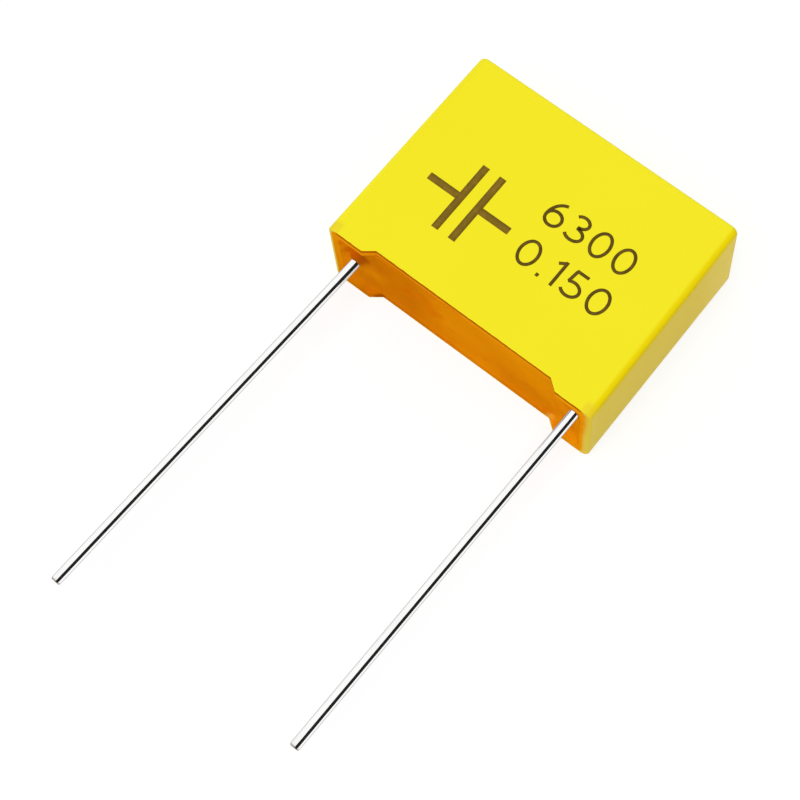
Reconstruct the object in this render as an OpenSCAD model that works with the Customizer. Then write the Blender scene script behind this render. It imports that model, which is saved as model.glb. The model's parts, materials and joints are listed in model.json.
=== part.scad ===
// Box film capacitor: a wound film element with sprayed metal ends and two
// welded wire leads, set in resin in a moulded case that is open underneath.
//
// It lies on its back face. +X runs along the width from the left lead to the
// right one, +Y from the standoff feet to the closed end, and +Z out of the
// marked face. The origin is the centre of the back face. Millimetres.

/* [Case] */
// Height of the case, from the tips of the feet to the closed end
case_h = 13.5; // [12:0.1:20]
// Thickness of the case, from the back face to the marked face
case_t = 6.5; // [5:0.1:11]
// Distance from each lead's axis to the case's end face beside it
end_margin = 1.5; // [1.4:0.05:2.5]
// Thickness of the moulded walls
wall = 0.7; // [0.5:0.05:0.8]
// Radius of the four long outer edges, from the feet to the closed end
edge_r = 0.5; // [0.3:0.05:0.7]
// Radius of the outer edges round the closed end
end_r = 0.3; // [0.1:0.05:0.3]
// Radius of the inner edges
cavity_r = 0.3; // [0.1:0.05:0.5]

/* [Feet] */
// How far the feet stand out past the long walls' lower edges
foot_h = 0.5; // [0.2:0.05:0.55]
// Width of each foot's tip along the long walls
foot_w = 2.4; // [1.6:0.1:4]
// Run of the slope from a foot's tip up to the lower edge
foot_slope = 0.65; // [0.2:0.05:1]

/* [Resin] */
// Depth of the resin's surface inside the tips of the feet
resin_depth = 0.65; // [0.6:0.05:1]
// Thickness of resin between its surface and the wound element
resin_cover = 0.95; // [0.6:0.05:1.5]
// Thickness of resin between the wound element and each long wall
resin_side = 0.3; // [0.15:0.05:0.6]
// Thickness of resin between the wound element and the closed end
resin_end = 0.35; // [0.15:0.05:1]

/* [Wound element] */
// Thickness of the plain film wrapped round the metallised film
wrap_t = 0.15; // [0.08:0.01:0.3]
// Thickness of the metal sprayed on each end
spray_t = 0.4; // [0.2:0.05:0.6]

/* [Leads] */
// Distance between the leads' axes at the feet
lead_pitch = 15; // [12.5:0.5:22.5]
// Diameter of the wire
lead_d = 0.6; // [0.5:0.05:0.8]
// Reach of the left lead past the tips of the feet
left_reach = 23.85; // [3:0.05:35]
// Reach of the right lead past the tips of the feet
right_reach = 22.65; // [3:0.05:35]
// How far the left lead's tip lies outwards, to -X
left_shift = 0.8; // [-1:0.01:1]
// How far the right lead's tip lies inwards, to -X
right_shift = 0.21; // [-1:0.01:1]
// How far the left lead's tip lies towards the marked face
left_lift = 0.27; // [-1:0.01:1]
// How far the right lead's tip lies towards the marked face
right_lift = 0.04; // [-1:0.01:1]
// Chamfer round each wire's cut tip
tip_chamfer = 0.06; // [0.02:0.01:0.15]
// Thickness of the wire where it is flattened and welded to the sprayed end
weld_t = 0.3; // [0.2:0.05:0.4]
// Width of the flattened wire
weld_w = 0.95; // [0.7:0.05:1.3]
// Length of the flattened wire
weld_l = 4; // [2:0.1:6]
// Clearance between the round wire and the sprayed end that it runs beside
weld_clear = 0.1; // [0.05:0.01:0.2]

/* [Hidden] */
$fn = 96;

case_w = lead_pitch + 2 * end_margin;
lead_r = lead_d / 2;
mid_z = case_t / 2;
feet_y = -case_h / 2;
closed_y = case_h / 2;
resin_y = feet_y + resin_depth;
cut = 1; // how far a cutting solid runs past what it cuts

// Wound element, on its side: its turns run round X, pressed flat along Z
element_low = resin_y + resin_cover;
element_high = closed_y - wall - resin_end;
element_h = element_high - element_low;
element_t = case_t - 2 * (wall + resin_side);
element_y = (element_low + element_high) / 2;
spray_x = lead_pitch / 2 - lead_r - weld_clear; // outer face of each sprayed end
film_x = spray_x - spray_t;                     // end of the wound film

CASE_YELLOW = [0.95, 0.87, 0.10];
RESIN_ORANGE = [0.80, 0.42, 0.03];
FILM_SILVER = [0.72, 0.74, 0.76];
FILM_CLEAR = [0.88, 0.86, 0.78];
SPRAY_GREY = [0.55, 0.56, 0.58];
TIN_BRIGHT = [0.85, 0.86, 0.87];

// Disc on the XY plane of radius r and height e, its upper edge rounded by e
module round_disc(r, e) {
    rotate_extrude() intersection() {
        square([r, e]);
        union() {
            translate([-cut, 0]) square([r - e + cut, e]);
            translate([r - e, 0]) circle(r = e);
        }
    }
}

// Block along Y from low to high, w wide and t thick, with its long edges
// rounded by r and the edges round its high end by e, which is r at most. Its
// low end is square.
module rounded_block(w, t, low, high, r, e) {
    side = w / 2 - r;
    face = t / 2 - r;
    shoulder = high - e;
    translate([0, 0, mid_z]) union() {
        translate([-w / 2, low, -face]) cube([w, shoulder - low, 2 * face]);
        translate([-side, low, -t / 2]) cube([2 * side, shoulder - low, t]);
        translate([e - w / 2, low, -face]) cube([w - 2 * e, high - low, 2 * face]);
        translate([-side, low, e - t / 2]) cube([2 * side, high - low, t - 2 * e]);
        for (sx = [-1, 1]) for (sz = [-1, 1])
            translate([sx * side, low, sz * face]) rotate([-90, 0, 0]) {
                cylinder(r = r, h = shoulder - low);
                translate([0, 0, shoulder - low]) round_disc(r, e);
            }
        for (sz = [-1, 1])
            translate([-side, shoulder, sz * (t / 2 - e)])
                rotate([0, 90, 0]) cylinder(r = e, h = 2 * side);
        for (sx = [-1, 1])
            translate([sx * (w / 2 - e), shoulder, -face]) cylinder(r = e, h = 2 * face);
    }
}

// Inside of the case, from low up to the inner face of the closed end
module cavity(low) {
    rounded_block(case_w - 2 * wall, case_t - 2 * wall, low, closed_y - wall,
                  cavity_r, cavity_r);
}

// Gap between the feet, right through both long walls
module foot_gap() {
    tip = case_w / 2 - foot_w;
    edge = tip - foot_slope;
    outline = [[-tip - foot_slope * cut / foot_h, feet_y - cut],
               [tip + foot_slope * cut / foot_h, feet_y - cut],
               [edge, feet_y + foot_h],
               [-edge, feet_y + foot_h]];
    translate([0, 0, -cut]) linear_extrude(case_t + 2 * cut) polygon(outline);
}

// Flattened roll along X between x0 and x1, taken in by inset all round
module flat_roll(x0, x1, inset) {
    t = element_t - 2 * inset;
    straight = element_h - element_t;
    translate([x0, element_y, mid_z]) {
        translate([0, -straight / 2, -t / 2]) cube([x1 - x0, straight, t]);
        for (sy = [-1, 1])
            translate([0, sy * straight / 2, 0])
                rotate([0, 90, 0]) cylinder(d = t, h = x1 - x0);
    }
}

// Turns +Z to the direction of v
module aim(v) {
    rotate([0, acos(v.z / norm(v)), atan2(v.y, v.x)]) children();
}

// Block that fills the space past a plane through the origin, on v's side
module space_past(v) {
    aim(v) translate([-lead_d, -lead_d, 0]) cube(2 * lead_d);
}

// Wire on side -1 or 1: flattened where it is welded, straight down to the
// feet, then leaning by shift to -X and by lift to +Z over its reach. The two
// stretches meet in a mitre.
module wire(side, reach, shift, lift) {
    tip = [-shift, -reach, lift];
    shank = norm(tip) - tip_chamfer;
    mitre = tip + [0, -norm(tip), 0];
    inside = element_y - weld_l / 2 + lead_r - feet_y;
    translate([side * lead_pitch / 2, feet_y, mid_z]) {
        translate([side * (weld_t / 2 - lead_r - weld_clear), element_y - feet_y, 0])
            cube([weld_t, weld_l, weld_w], center = true);
        difference() {
            rotate([-90, 0, 0])
                translate([0, 0, -lead_r]) cylinder(r = lead_r, h = lead_r + inside);
            space_past(mitre);
        }
        difference() {
            aim(tip) translate([0, 0, -lead_r]) cylinder(r = lead_r, h = lead_r + shank);
            space_past(-mitre);
        }
        aim(tip) translate([0, 0, shank])
            cylinder(r1 = lead_r, r2 = lead_r - tip_chamfer, h = tip_chamfer);
    }
}

module case() {
    color(CASE_YELLOW) difference() {
        rounded_block(case_w, case_t, feet_y, closed_y, edge_r, min(end_r, edge_r));
        cavity(feet_y - cut);
        foot_gap();
    }
}

module potting() {
    color(RESIN_ORANGE) difference() {
        cavity(resin_y);
        flat_roll(-spray_x, spray_x, 0);
        lead_left();
        lead_right();
    }
}

module winding() {
    color(FILM_SILVER) flat_roll(-film_x, film_x, wrap_t);
}

module cover_wrap() {
    color(FILM_CLEAR) difference() {
        flat_roll(-film_x, film_x, 0);
        flat_roll(-film_x - cut, film_x + cut, wrap_t);
    }
}

module end_spray_left() {
    color(SPRAY_GREY) flat_roll(-spray_x, -film_x, 0);
}

module end_spray_right() {
    color(SPRAY_GREY) flat_roll(film_x, spray_x, 0);
}

module lead_left() {
    color(TIN_BRIGHT) wire(-1, left_reach, left_shift, left_lift);
}

module lead_right() {
    color(TIN_BRIGHT) wire(1, right_reach, right_shift, right_lift);
}

case();
potting();
winding();
cover_wrap();
end_spray_left();
end_spray_right();
lead_left();
lead_right();
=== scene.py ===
"""Dresses a box film capacitor and sets it in a plain pale studio.

Lengths are in metres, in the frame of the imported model: +X along the width, +Y from the feet to the
closed end, +Z out of the marked face. The part lies on its back at Z = 0.
"""

import json
import logging
import math
from dataclasses import dataclass
from enum import Enum
from typing import Any

import bmesh
import bpy
from mathutils import Matrix, Vector


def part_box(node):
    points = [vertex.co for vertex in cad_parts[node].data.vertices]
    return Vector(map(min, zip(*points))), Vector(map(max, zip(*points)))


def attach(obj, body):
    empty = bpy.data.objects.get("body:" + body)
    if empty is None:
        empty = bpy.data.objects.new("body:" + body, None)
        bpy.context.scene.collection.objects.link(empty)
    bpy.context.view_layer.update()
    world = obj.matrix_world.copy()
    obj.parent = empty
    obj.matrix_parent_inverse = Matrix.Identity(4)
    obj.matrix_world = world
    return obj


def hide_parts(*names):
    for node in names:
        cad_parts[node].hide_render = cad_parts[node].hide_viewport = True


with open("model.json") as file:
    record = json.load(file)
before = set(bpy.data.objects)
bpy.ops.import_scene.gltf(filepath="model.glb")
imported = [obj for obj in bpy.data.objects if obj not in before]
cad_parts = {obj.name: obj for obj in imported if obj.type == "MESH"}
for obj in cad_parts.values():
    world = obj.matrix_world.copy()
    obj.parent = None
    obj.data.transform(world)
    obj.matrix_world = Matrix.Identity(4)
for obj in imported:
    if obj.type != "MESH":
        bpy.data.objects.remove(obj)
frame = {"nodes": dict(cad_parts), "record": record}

LOG = logging.getLogger("box_film_capacitor")
MM = 0.001
WELD_DISTANCE = 1e-7
FLAT_ANGLE = math.radians(0.2)
SHARP_ANGLE = math.radians(30)
FACING = 0.1  # least cosine of a face that looks outwards
TINY = 1e-9  # keeps a division off zero
SEED = 11

Material = bpy.types.Material
Mesh = bpy.types.Mesh
Piece = bpy.types.Object
Socket = bpy.types.NodeSocket
Tree = bpy.types.NodeTree
Colour = tuple[float, float, float]
Place = tuple[float, float, float]
Point = tuple[float, float]
Span = tuple[float, float]
Stroke = list[Point]


class Slot(Enum):
    """The record's material slots."""

    CASE = "case_plastic"
    RESIN = "resin"
    METALLISED = "metallised_film"
    PLAIN_FILM = "plain_film"
    SPRAY = "sprayed_metal"
    WIRE = "tinned_wire"
    INK = "marking_ink"


class Side(Enum):
    """The two ends of the part, by the sign of X."""

    LEFT = -1
    RIGHT = 1

    @property
    def word(self) -> str:
        """The side's name as the nodes spell it."""
        return self.name.lower()


# ---------------------------------------------------------------- node trees


def spaced(values: dict[str, Any]) -> dict[str, Any]:
    """The same values, with a space for each _ in their names."""
    return {name.replace("_", " "): value for name, value in values.items()}


class Signal:
    """An output socket that Python's operators can work on."""

    def __init__(self, graph: "Graph", socket: Socket) -> None:
        """Keeps the socket and the graph that its Math nodes go to."""
        self.graph = graph
        self.socket = socket

    def math(self, operation: str, other: Any = None, swapped: bool = False) -> "Signal":
        """Adds a Math node.

        Args:
            operation: The Math node's operation.
            other: The second value, or None where the operation takes one.
            swapped: Whether the second value comes first.

        Returns:
            The result.
        """
        values = [self] if other is None else [self, other]
        if swapped:
            values.reverse()
        return self.graph.make("ShaderNodeMath", {"operation": operation}, dict(enumerate(values)))

    def __add__(self, other: Any) -> "Signal":
        """self + other."""
        return self.math("ADD", other)

    def __sub__(self, other: Any) -> "Signal":
        """self - other."""
        return self.math("SUBTRACT", other)

    def __rsub__(self, other: Any) -> "Signal":
        """other - self."""
        return self.math("SUBTRACT", other, swapped=True)

    def __mul__(self, other: Any) -> "Signal":
        """self * other."""
        return self.math("MULTIPLY", other)

    def __truediv__(self, other: Any) -> "Signal":
        """self / other."""
        return self.math("DIVIDE", other)

    def __rtruediv__(self, other: Any) -> "Signal":
        """other / self."""
        return self.math("DIVIDE", other, swapped=True)

    def __abs__(self) -> "Signal":
        """The distance from zero."""
        return self.math("ABSOLUTE")

    __radd__ = __add__

    def at_least(self, lowest: Any) -> "Signal":
        """The value, or lowest where that is more."""
        return self.math("MAXIMUM", lowest)

    def at_most(self, highest: Any) -> "Signal":
        """The value, or highest where that is less."""
        return self.math("MINIMUM", highest)

    def length(self, other: "Signal") -> "Signal":
        """The length of a line that runs this far one way and the other's value across it."""
        return (self * self + other * other).math("SQRT")

    def fade(self) -> "Signal":
        """Falls from 1 at zero, by the factor e for each 1."""
        return (self * -1).math("EXPONENT")

    def step(self, start: float, end: float) -> "Signal":
        """Goes smoothly from 0 at start to 1 at end.

        Args:
            start: The value where it is still 0.
            end: The value where it becomes 1, which may be the lower one.

        Returns:
            The share from 0 to 1.
        """
        if end < start:
            return 1 - self.step(end, start)
        return self.graph.make("ShaderNodeMapRange", {"interpolation_type": "SMOOTHSTEP"},
                               {"Value": self, "From Min": start, "From Max": end})


class Graph:
    """A node tree under construction."""

    def __init__(self, tree: Tree) -> None:
        """Keeps the tree and empties it."""
        self.tree = tree
        self.tree.nodes.clear()

    def node(self, kind: str, settings: dict[str, Any] | None = None,
             inputs: dict[Any, Any] | None = None) -> bpy.types.Node:
        """Adds a node.

        Args:
            kind: The node's type name.
            settings: Its properties, set before its sockets.
            inputs: Values or Signals by socket identifier, name or place.

        Returns:
            The node.
        """
        node = self.tree.nodes.new(kind)
        for name, value in (settings or {}).items():
            setattr(node, name, value)
        for key, value in (inputs or {}).items():
            socket = self._find(node.inputs, key)
            if isinstance(value, Signal):
                self.tree.links.new(value.socket, socket)
            else:
                socket.default_value = value
        return node

    def make(self, kind: str, settings: dict[str, Any] | None = None,
             inputs: dict[Any, Any] | None = None, output: Any = 0) -> Signal:
        """Adds a node, as node() does, and returns one of its outputs."""
        return self.out(self.node(kind, settings, inputs), output)

    def out(self, node: bpy.types.Node, key: Any = 0) -> Signal:
        """One output of a node."""
        return Signal(self, self._find(node.outputs, key))

    @staticmethod
    def _find(sockets: Any, key: Any) -> Socket:
        """The socket of that place, identifier or name."""
        known = [s for s in sockets if s.identifier == key]
        return sockets[key] if isinstance(key, int) else (
            known or [s for s in sockets if s.name == key and s.enabled])[0]

    def split(self, vector: Signal) -> tuple[Signal, ...]:
        """The three parts of a vector."""
        node = self.node("ShaderNodeSeparateXYZ", inputs={"Vector": vector})
        return tuple(self.out(node, part) for part in range(3))

    def noise(self, place: Signal, size: Any, detail: float = 2, seed: float = SEED) -> Signal:
        """Even noise from 0 to 1.

        Args:
            place: Where it is read.
            size: The size of one blotch, in metres.
            detail: How many finer layers lie on it.
            seed: Which noise it is.

        Returns:
            The noise.
        """
        return self.make("ShaderNodeTexNoise", {"noise_dimensions": "4D"},
                         {"Vector": place, "Scale": 1 / size, "Detail": detail, "W": seed})


class ShaderGraph(Graph):
    """A material's node tree. Its place is the object coordinates, in metres."""

    def __init__(self, name: str) -> None:
        """Makes an empty material.

        Args:
            name: Its name.
        """
        self.material = bpy.data.materials.new(name)
        self.material.use_nodes = True
        super().__init__(self.material.node_tree)
        self.place = self.make("ShaderNodeTexCoord", output="Object")

    def grain(self, size: float, detail: float = 2, seed: float = SEED) -> Signal:
        """Even noise over the piece, as noise() makes it."""
        return self.noise(self.place, size, detail, seed)

    def streaks(self, scale: Place, size: float, detail: float = 2, seed: float = SEED) -> Signal:
        """Noise that runs in streaks, because its places are scaled along each axis."""
        place = self.make("ShaderNodeVectorMath", {"operation": "MULTIPLY"},
                          {0: self.place, 1: scale})
        return self.noise(place, size, detail, seed)

    def attribute(self, name: str) -> Signal:
        """A number stored on the mesh."""
        return self.make("ShaderNodeAttribute", {"attribute_name": name}, output="Fac")

    def blend(self, share: Any, first: Any, second: Any) -> Signal:
        """A colour that goes from first to second as share goes from 0 to 1."""
        first, second = (c if isinstance(c, Signal) else (*c, 1) for c in (first, second))
        return self.make("ShaderNodeMix", {"data_type": "RGBA"},
                         {"Factor_Float": share, "A_Color": first, "B_Color": second},
                         "Result_Color")

    def bump(self, height: Signal, distance: float, strength: float = 1) -> Signal:
        """A normal that follows a height of that many metres."""
        return self.make("ShaderNodeBump",
                         inputs={"Height": height, "Distance": distance, "Strength": strength})

    def principled(self, **inputs: Any) -> Signal:
        """A Principled shader. Its sockets are given with _ for each space in their names."""
        return self.make("ShaderNodeBsdfPrincipled", inputs=spaced(inputs))

    def mix(self, share: Signal, first: Signal, second: Signal) -> Signal:
        """A shader that goes from first to second as share goes from 0 to 1."""
        return self.make("ShaderNodeMixShader", inputs={0: share, 1: first, 2: second})

    def end(self, shader: Signal) -> Material:
        """Links the shader to the material's output."""
        self.node("ShaderNodeOutputMaterial", inputs={"Surface": shader})
        return self.material


class ShapeGraph(Graph):
    """A Geometry Nodes tree with named inputs."""

    def __init__(self, name: str) -> None:
        """Makes a tree that takes a mesh and a material.

        Args:
            name: Its name.
        """
        super().__init__(bpy.data.node_groups.new(name, "GeometryNodeTree"))
        face = self.tree.interface
        face.new_socket("Geometry", in_out="OUTPUT", socket_type="NodeSocketGeometry")
        for kind in ("Geometry", "Material"):
            face.new_socket(kind, in_out="INPUT", socket_type="NodeSocket" + kind)
        self.entry = self.node("NodeGroupInput")

    def ask(self, *names: str, kind: str = "Float") -> list[Signal]:
        """Adds inputs to the tree.

        Args:
            *names: Their names.
            kind: The type that they share.

        Returns:
            The inputs, in the same order.
        """
        for name in names:
            self.tree.interface.new_socket(name, in_out="INPUT", socket_type="NodeSocket" + kind)
        return [self.given(name) for name in names]

    def given(self, name: str) -> Signal:
        """One of the tree's inputs."""
        return self.out(self.entry, name)

    def shape(self, kind: str, settings: dict[str, Any] | None = None, output: Any = 0,
              **inputs: Any) -> Signal:
        """Adds a Geometry node. Its sockets are given with _ for each space in their names."""
        return self.make("GeometryNode" + kind, settings, spaced(inputs), output)

    def join(self, x: Any, y: Any, z: Any) -> Signal:
        """A vector from its three parts."""
        return self.make("ShaderNodeCombineXYZ", inputs={"X": x, "Y": y, "Z": z})

    def store(self, geometry: Signal, name: str, value: Signal) -> Signal:
        """Keeps a number on each point, for the finish to read."""
        return self.shape("StoreNamedAttribute", Geometry=geometry, Name=name, Value=value)

    def ribbon(self, lines: Signal, width: Signal, height: Signal) -> Signal:
        """Sweeps a flat section along lines.

        Args:
            lines: A mesh of edges alone, level in Z.
            width: The section's width across the line.
            height: Its height along Z.

        Returns:
            The closed ribbons.
        """
        curve = self.shape("MeshToCurve", Mesh=lines)
        level = self.shape("SetCurveNormal", {"mode": "Z_UP"}, Curve=curve)
        section = self.shape("CurvePrimitiveQuadrilateral", {"mode": "RECTANGLE"},
                             Width=width, Height=height)
        return self.shape("CurveToMesh", Curve=level, Profile_Curve=section, Fill_Caps=True)

    def finish(self, geometry: Signal) -> Tree:
        """Ends the tree in Realize Instances and Set Material.

        Args:
            geometry: What the tree makes.

        Returns:
            The tree.
        """
        solid = self.shape("RealizeInstances", Geometry=geometry)
        dressed = self.shape("SetMaterial", Geometry=solid, Material=self.given("Material"))
        self.node("NodeGroupOutput", inputs={"Geometry": dressed})
        return self.tree


# -------------------------------------------------------------------- meshes


def new_object(name: str, data: bpy.types.ID) -> Piece:
    """Links a new object at the origin.

    Args:
        name: Its name.
        data: Its mesh, lamp or camera.

    Returns:
        The object.
    """
    piece = bpy.data.objects.new(name, data)
    bpy.context.scene.collection.objects.link(piece)
    return piece


def bake_modifiers(piece: Piece) -> None:
    """Puts the effect of the modifiers into a plain mesh and removes them.

    Args:
        piece: The object, whose mesh is replaced.
    """
    graph = bpy.context.evaluated_depsgraph_get()
    mesh = bpy.data.meshes.new_from_object(piece.evaluated_get(graph), depsgraph=graph)
    piece.modifiers.clear()
    piece.data = mesh


def grow(piece: Piece, tree: Tree, **values: Any) -> None:
    """Runs a Geometry Nodes tree on a piece and keeps its result.

    Args:
        piece: The object whose mesh goes in and is replaced.
        tree: The tree.
        **values: The tree's inputs, with _ for each space in their names. Others are left out.
    """
    modifier = piece.modifiers.new(tree.name, "NODES")
    modifier.node_group = tree
    named = spaced(values)
    for item in tree.interface.items_tree:
        if item.in_out == "INPUT" and item.name in named:
            modifier[item.identifier] = named[item.name]
    bake_modifiers(piece)


def sizes(maker: Any) -> dict[str, Any]:
    """A sub-assembly's own sizes, by the names that its trees give to their inputs."""
    return {name.title(): value for name, value in vars(maker).items()}


def merged_copy(node: str) -> Mesh:
    """Copies a node's mesh.

    Args:
        node: The node.

    Returns:
        The copy, closed and with its flat faces whole again.
    """
    mesh = frame["nodes"][node].data.copy()
    work = bmesh.new()
    work.from_mesh(mesh)
    bmesh.ops.remove_doubles(work, verts=work.verts, dist=WELD_DISTANCE)
    bmesh.ops.dissolve_limit(work, angle_limit=FLAT_ANGLE, verts=work.verts, edges=work.edges)
    work.to_mesh(mesh)
    work.free()
    if "custom_normal" in mesh.attributes:
        mesh.attributes.remove(mesh.attributes["custom_normal"])
    return mesh


def fix_normals(mesh: Mesh) -> None:
    """Merges doubles and turns every face outwards.

    Args:
        mesh: The mesh, which is changed.
    """
    work = bmesh.new()
    work.from_mesh(mesh)
    bmesh.ops.remove_doubles(work, verts=work.verts, dist=WELD_DISTANCE)
    bmesh.ops.recalc_face_normals(work, faces=work.faces)
    work.to_mesh(mesh)
    work.free()


def path_mesh(name: str, strokes: list[list[Vector]]) -> Mesh:
    """Makes a mesh of edges alone.

    Args:
        name: Its name.
        strokes: The points of each chain of edges. It is closed where it ends at its start.

    Returns:
        The mesh.
    """
    points: list[Vector] = []
    edges: list[tuple[int, int]] = []
    for stroke in strokes:
        start, closed = len(points), (stroke[0] - stroke[-1]).length < WELD_DISTANCE
        points += stroke[:-1] if closed else stroke
        edges += [(i, i + 1) for i in range(start, len(points) - 1)]
        if closed:
            edges.append((len(points) - 1, start))
    mesh = bpy.data.meshes.new(name)
    mesh.from_pydata(points, edges, [])
    return mesh


def shade(mesh: Mesh, sharp_degrees: float) -> None:
    """Smooth shading that breaks at edges sharper than that."""
    mesh.shade_smooth()
    mesh.set_sharp_from_angle(angle=math.radians(sharp_degrees))


def mount(name: str) -> dict[str, Any]:
    """One of the record's mounts."""
    return next(m for m in frame["record"]["mounts"] if m["name"] == name)


def stand_in(piece: Piece, slot: Slot, material: Material, *nodes: str) -> None:
    """Finishes a piece: it gets its one material, rides and is reported.

    Args:
        piece: The piece.
        slot: The record's slot that its finish belongs to. It is not used.
        material: Its finish.
        *nodes: The nodes that it stands for.
    """
    mesh = piece.data
    mesh.materials.clear()
    mesh.materials.append(material)
    mesh.polygons.foreach_set("material_index", [0] * len(mesh.polygons))
    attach(piece, "root")
    if nodes:
        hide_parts(*nodes)
    mesh.calc_loop_triangles()
    LOG.info("%s: %d triangles", piece.name, len(mesh.loop_triangles))


# ------------------------------------------------------------------ finishes


@dataclass(frozen=True)
class Spot:
    """A soft spot of another colour in the resin: its middle, its reach and its strength."""

    x: float
    z: float
    reach: float
    share: float
    colour: Colour


@dataclass(frozen=True)
class CastResin:
    """Epoxy cast into the open side: orange, matt-skinned and a little uneven."""

    light: Colour = (0.93, 0.335, 0.002)
    deep: Colour = (0.62, 0.165, 0.001)
    # Redder resin, for the clouds and for the painted shade in the pocket beside the left wire.
    red: Colour = (0.70, 0.120, 0.001)
    # Dark brown for the painted shadows by the left wire's base and on the back wall's step.
    stain: Colour = (0.36, 0.070, 0.001)
    # Pale yellow-orange for the painted light on the right step's slope.
    pale: Colour = (1.00, 0.74, 0.10)
    spots: tuple[Spot, ...] = (
        Spot(-6.40 * MM, 4.40 * MM, 2.00 * MM, 0.75, deep),
        # Painted shadow at the left wire's base.
        Spot(-7.30 * MM, 3.85 * MM, 0.85 * MM, 0.85, stain),
        # Painted shade in the pocket between the left wire and the wall.
        Spot(-7.82 * MM, 4.10 * MM, 0.75 * MM, 0.70, red),
        Spot(-6.50 * MM, 0.70 * MM, 1.60 * MM, 0.75, deep),
        # Painted shadow on the back wall's left step.
        Spot(-6.12 * MM, 0.25 * MM, 0.45 * MM, 0.85, stain),
        Spot(4.00 * MM, 1.20 * MM, 3.00 * MM, 0.35, deep),
        # Painted light on the slope of the right step, by the back wall.
        Spot(6.35 * MM, 0.10 * MM, 0.80 * MM, 0.90, pale))
    patch: float = 2.6 * MM
    blush: float = 1.82 * MM
    speck: float = 0.5 * MM
    ragged: float = 0.7 * MM
    thickness: float = 6.5 * MM
    # Where the painted shade over the left of the resin begins and is full, from its left and from its
    # right.
    pool_left: Span = (-7.0 * MM, -5.2 * MM)
    pool_right: Span = (-1.0 * MM, -4.0 * MM)
    right_half: Span = (2.0 * MM, 9.0 * MM)
    right_end: Span = (6.6 * MM, 7.6 * MM)
    base_tone: float = 0.25
    cloud_tone: float = 0.5
    # How much the painted shade on the left darkens the resin.
    pool_tone: float = 0.38
    half_tone: float = 0.2
    end_tone: float = 0.25
    front_tone: float = 0.28
    blush_part: Span = (0.52, 0.72)
    blush_share: float = 0.5
    spot_core: float = 0.2
    roughness: float = 0.5
    relief: float = 0.04 * MM
    gloss: float = 0.0

    def colour(self, graph: ShaderGraph) -> Signal:
        """The resin's colour, also where it covers the case's rims.

        Args:
            graph: The tree that it goes to.

        Returns:
            A colour: darker on the left in painted shade, lighter at the front and the right end, with
            soft redder clouds and the spots, of which those by the left wire and on the back wall's
            step are painted shade and the one on the right step's slope is painted light.
        """
        x, _, z = graph.split(graph.place)
        # Painted shade: the resin is darker over the left of the recess.
        painted_shade = x.step(*self.pool_left) * x.step(*self.pool_right)
        tone = (graph.grain(self.patch) * self.cloud_tone + self.base_tone - painted_shade * self.pool_tone
                + x.step(*self.right_half) * self.half_tone
                + x.step(*self.right_end) * self.end_tone
                + z.step(0.0, self.thickness) * self.front_tone)
        body = graph.blend(tone.at_least(0.0), self.deep, self.light)
        blush = graph.grain(self.blush, seed=SEED + 1).step(*self.blush_part)
        body = graph.blend(blush * self.blush_share, body, self.red)
        ragged = graph.grain(self.ragged, 3, SEED + 5) - 0.5
        for spot in self.spots:
            away = (x - spot.x).length(z - spot.z) + ragged * spot.reach
            share = away.step(spot.reach, spot.reach * self.spot_core) * spot.share
            body = graph.blend(share, body, spot.colour)
        return body

    def shader(self, graph: ShaderGraph, colour: Signal) -> Signal:
        """The resin's skin over a colour.

        Args:
            graph: The tree that it goes to.
            colour: The colour.

        Returns:
            The shader.
        """
        skin = graph.grain(self.speck, 3)
        swell = graph.grain(self.patch, seed=SEED + 2)
        return graph.principled(
            Base_Color=colour,
            Roughness=self.roughness + skin * 0.12,
            Normal=graph.bump(swell * 0.8 + skin * 0.2, self.relief),
            Specular_IOR_Level=self.gloss,
        )

    def material(self) -> Material:
        """The resin where it fills the case."""
        graph = ShaderGraph("cast_resin")
        return graph.end(self.shader(graph, self.colour(graph)))


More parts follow.
